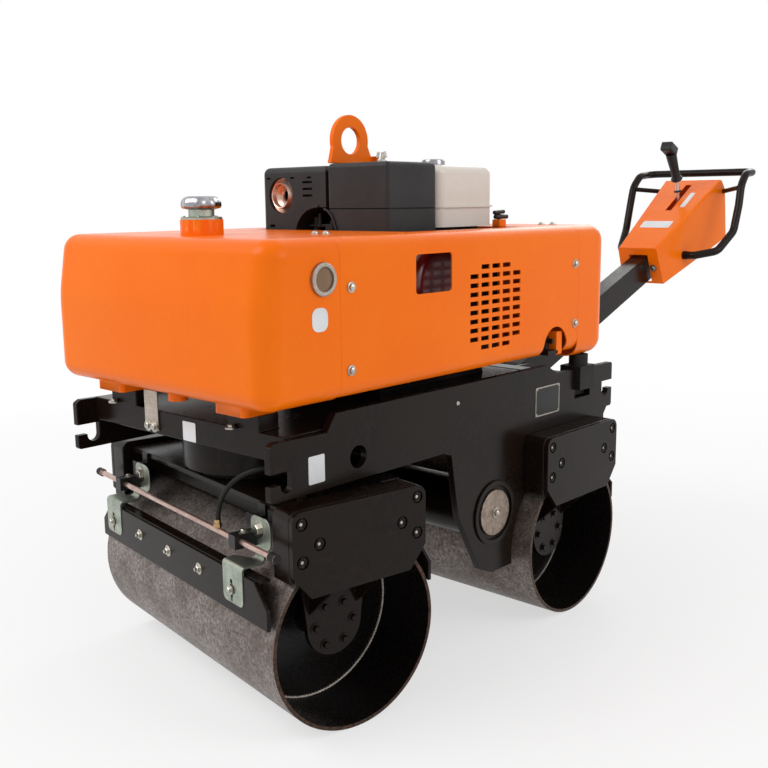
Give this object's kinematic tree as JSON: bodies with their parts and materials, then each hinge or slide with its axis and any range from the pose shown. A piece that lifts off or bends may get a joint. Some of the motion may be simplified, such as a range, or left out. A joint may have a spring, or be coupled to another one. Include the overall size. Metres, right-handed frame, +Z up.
{
  "type": "walk-behind vibratory roller",
  "caption": "Walk-behind double drum road roller with steered front drum, water tank, covered engine and fold-up tiller handle.",
  "frame": {"origin": "centre of the overall box, on the ground under the drums", "axes": "+X to the machine's left, +Y to its rear where the handle is, +Z up"},
  "size_m": [0.8416, 2.409, 1.221],
  "materials": {
    "orange_paint": "gloss orange paint",
    "black_paint": "semi-gloss black paint",
    "drum_steel": "bare rolled steel, worn and mottled",
    "zinc": "zinc plated",
    "bare_bar": "bare steel tube",
    "exhaust_steel": "pressed steel",
    "cap_chrome": "bright plated",
    "engine_black": "satin black",
    "engine_cast": "dark painted casting",
    "starter_red": "dark red paint",
    "tank_white": "off-white paint",
    "rubber_black": "black rubber",
    "gauge_clear": "clear plastic over a pale dial",
    "disc_steel": "turned steel disc",
    "grip_black": "black plastic grip"
  },
  "bodies": {
    "frame": {"side_plate_left": "black_paint", "side_plate_right": "black_paint", "front_beam": "black_paint", "turntable_post": "black_paint", "engine_bed": "black_paint", "rear_beam": "black_paint", "handle_bracket": "black_paint", "exciter_housing": "black_paint", "exciter_covers": "disc_steel", "rear_box_left": "black_paint", "rear_box_right": "black_paint", "rear_carrier_left": "black_paint", "rear_carrier_right": "black_paint", "rear_scrapers": "black_paint", "body_mounts": "rubber_black", "tie_strap": "zinc", "water_tank": "orange_paint", "filler_neck": "zinc", "filler_cap": "cap_chrome", "sight_gauge": "gauge_clear", "side_cover_left": "orange_paint", "side_cover_right": "orange_paint", "top_deck": "orange_paint", "tail_cover": "orange_paint", "engine_block": "engine_cast", "recoil_starter": "starter_red", "muffler_cover": "engine_black", "exhaust_outlet": "exhaust_steel", "air_cleaner": "engine_black", "fuel_tank": "tank_white", "fuel_cap": "cap_chrome", "lifting_eye": "orange_paint"},
    "yoke": {"yoke_beam": "black_paint", "yoke_box_left": "black_paint", "yoke_box_right": "black_paint", "front_carrier_left": "black_paint", "front_carrier_right": "black_paint", "spray_bar": "bare_bar", "spray_clamps": "zinc", "front_scraper": "black_paint", "inner_scraper": "black_paint", "scraper_brackets": "zinc", "water_hose": "rubber_black"},
    "front_drum": {"front_drum": "drum_steel"},
    "rear_drum": {"rear_drum": "drum_steel"},
    "handle": {"handle_tube": "black_paint", "console": "orange_paint", "handlebar": "engine_black", "cross_bar": "engine_black", "travel_lever": "grip_black"}
  },
  "joints": [
    {"name": "steer", "type": "hinge", "parent": "frame", "child": "yoke", "pos_m": [0.00236, -0.9435, 0.467], "axis": [0, 0, 1], "range_deg": [-5.6, 24.4]},
    {"name": "front_drum_roll", "type": "hinge", "parent": "yoke", "child": "front_drum", "pos_m": [0.00236, -0.9435, 0.1925], "axis": [0.9866, -0.1633, 0], "continuous": true},
    {"name": "rear_drum_roll", "type": "hinge", "parent": "frame", "child": "rear_drum", "pos_m": [0.00236, -0.2255, 0.1925], "axis": [1, 0, 0], "continuous": true},
    {"name": "handle_fold", "type": "hinge", "parent": "frame", "child": "handle", "pos_m": [0.00236, 0.0565, 0.526], "axis": [1, 0, 0], "range_deg": [0, 65]}
  ]
}
